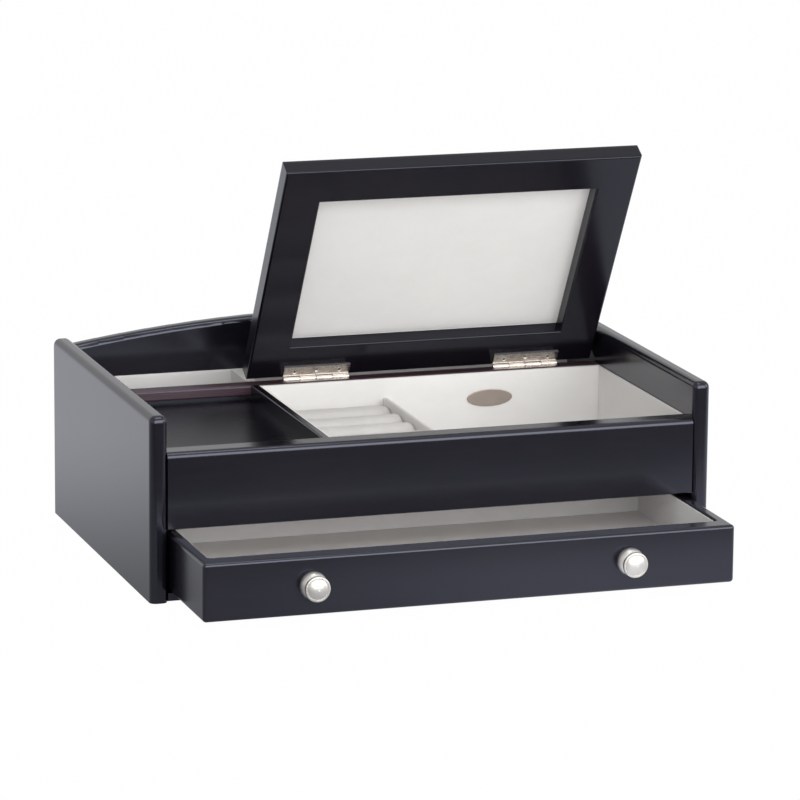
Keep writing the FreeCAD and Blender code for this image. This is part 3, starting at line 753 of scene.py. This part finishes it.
def ovalPlate():
    low, high = corners("blank_plate")
    size = high - low
    bpy.ops.object.select_all(action="DESELECT")
    bpy.ops.mesh.primitive_cylinder_add(vertices=plateLook["around"], radius=0.5, depth=1,
                                        location=(low + high) / 2, rotation=(math.pi / 2, 0, 0),
                                        scale=(size.x, size.z, size.y))
    piece = bpy.context.object
    piece.name = "blankPlate"
    bpy.ops.object.transform_apply(location=True, rotation=True, scale=True)
    chooseSide(piece, front)
    bpy.ops.mesh.inset(thickness=plateLook["rim"] * mm)
    bpy.ops.mesh.inset(thickness=plateLook["edge"] * mm)
    bpy.ops.transform.translate(value=(0, plateLook["sink"] * mm, 0))
    bpy.ops.object.mode_set(mode="OBJECT")
    applyModifier(piece, "BEVEL", width=plateLook["edge"] * mm, segments=plateLook["segments"],
                  limit_method="ANGLE", angle_limit=math.radians(plateLook["edgeAngle"]))
    settle(piece, "case", "plate_metal", plateSatin, "blank_plate")


ovalPlate()
print("plate made")


# The box stands on a wide pale floor under a plain sky. Rays that show floor or sky themselves see
# them at set strengths: white for the camera, and dimmer where the lacquer mirrors them.
studio = {"floor": 6.0, "paint": color(0.88, 0.88, 0.88), "world": 0.46, "show": 0.99,
          "mirrored": 0.86, "skyline": 0.74, "ceiling": 0.66, "horizon": (0.30, 0.70),
          # the floor's reflection is painted dimmer away from the box, and painted with a shadow
          # beside the box's left side
          "floorFar": 0.05, "floorNear": (-0.36, -0.23), "floorLeft": 0.36,
          "leftSide": (-0.16, 0.08), "leftFront": (-0.14, 0.30),
          "cool": color(0.92, 0.94, 1.0), "warm": color(1.0, 0.965, 0.93),
          "top": {"spot": (0.12, -0.38, 1.55), "size": (0.5, 0.5), "watts": 2.5},
          "front": {"spot": (0.34, -2.40, 0.92), "size": (3.0, 1.7), "watts": 49.0},
          "right": {"spot": (1.9, -1.0, 0.9), "size": (0.9, 1.2), "watts": 9.5}}


def rays(tree):
    # the first is 1 for camera rays, the second for all rays that show the background
    straight = tree.node("ShaderNodeLightPath", out="Is Camera Ray")
    mirrored = straight.beside("Is Glossy Ray")
    through = straight.beside("Is Transmission Ray")
    return straight, straight + mirrored + through


def addFloor():
    bpy.ops.object.select_all(action="DESELECT")
    bpy.ops.mesh.primitive_plane_add(size=studio["floor"] * 2, location=(0, 0, 0))
    floor = bpy.context.object
    floor.name = "floor"
    material, tree = newFinish("paleFloor")
    lit = tree.node("ShaderNodeBsdfDiffuse", None, {"Color": studio["paint"]})
    straight, seen = rays(tree)
    spot = tree.node("ShaderNodeTexCoord", out="Object")
    across = tree.node("ShaderNodeSeparateXYZ", None, {"Vector": spot}, out="X")
    depth = across.beside("Y")
    # away from the box the floor's reflection is painted dimmer, a painted falloff of light, and
    # beside the box's left side it carries a painted shadow; only the lacquer's reflections show
    # either
    near = soften(tree, depth, *studio["floorNear"], studio["floorFar"], 1.0)
    paintedShadow = (soften(tree, across, *studio["leftSide"], 1.0, 0.0)
                * soften(tree, depth, *studio["leftFront"], 1.0, 0.0))
    strength = straight + (1 - straight) * near * (1 - (1 - studio["floorLeft"]) * paintedShadow)
    shade = tint(tree, straight, studio["cool"], color(1, 1, 1))
    shown = tree.node("ShaderNodeEmission", None, {"Color": shade, "Strength": strength})
    plain = straight * studio["show"] + (seen - straight) * studio["mirrored"]
    mixed = tree.node("ShaderNodeMixShader", None, {0: plain, 1: lit, 2: shown})
    tree.node("ShaderNodeOutputMaterial", None, {"Surface": mixed})
    floor.data.materials.append(material)


def addWorld():
    world = bpy.data.worlds.new("studio")
    world.use_nodes = True
    world.node_tree.nodes.clear()
    tree = Wire(world.node_tree)
    straight, seen = rays(tree)
    spot = tree.node("ShaderNodeTexCoord", out="Generated")
    height = tree.node("ShaderNodeSeparateXYZ", None, {"Vector": spot}, out="Z")
    shade = soften(tree, height, *studio["horizon"], studio["skyline"], studio["ceiling"])
    show = straight + (1 - straight) * shade
    strength = studio["world"] * (1 - seen) + seen * show
    shade = tint(tree, seen, studio["warm"], color(1, 1, 1))
    sky = tree.node("ShaderNodeBackground", None, {"Color": shade, "Strength": strength})
    tree.node("ShaderNodeOutputWorld", None, {"Surface": sky})
    bpy.context.scene.world = world


def addLamp(name):
    lamp = studio[name]
    bpy.ops.object.light_add(type="AREA", location=lamp["spot"])
    light = bpy.context.object
    light.name = name + "Lamp"
    light.data.shape = "RECTANGLE"
    light.data.size, light.data.size_y = lamp["size"]
    light.data.energy = lamp["watts"]
    light.rotation_euler = Vector(lamp["spot"]).to_track_quat("Z", "Y").to_euler()
    light.visible_camera = False


addFloor()
addWorld()
for lampName in ("top", "front", "right"):
    addLamp(lampName)
print("studio set")
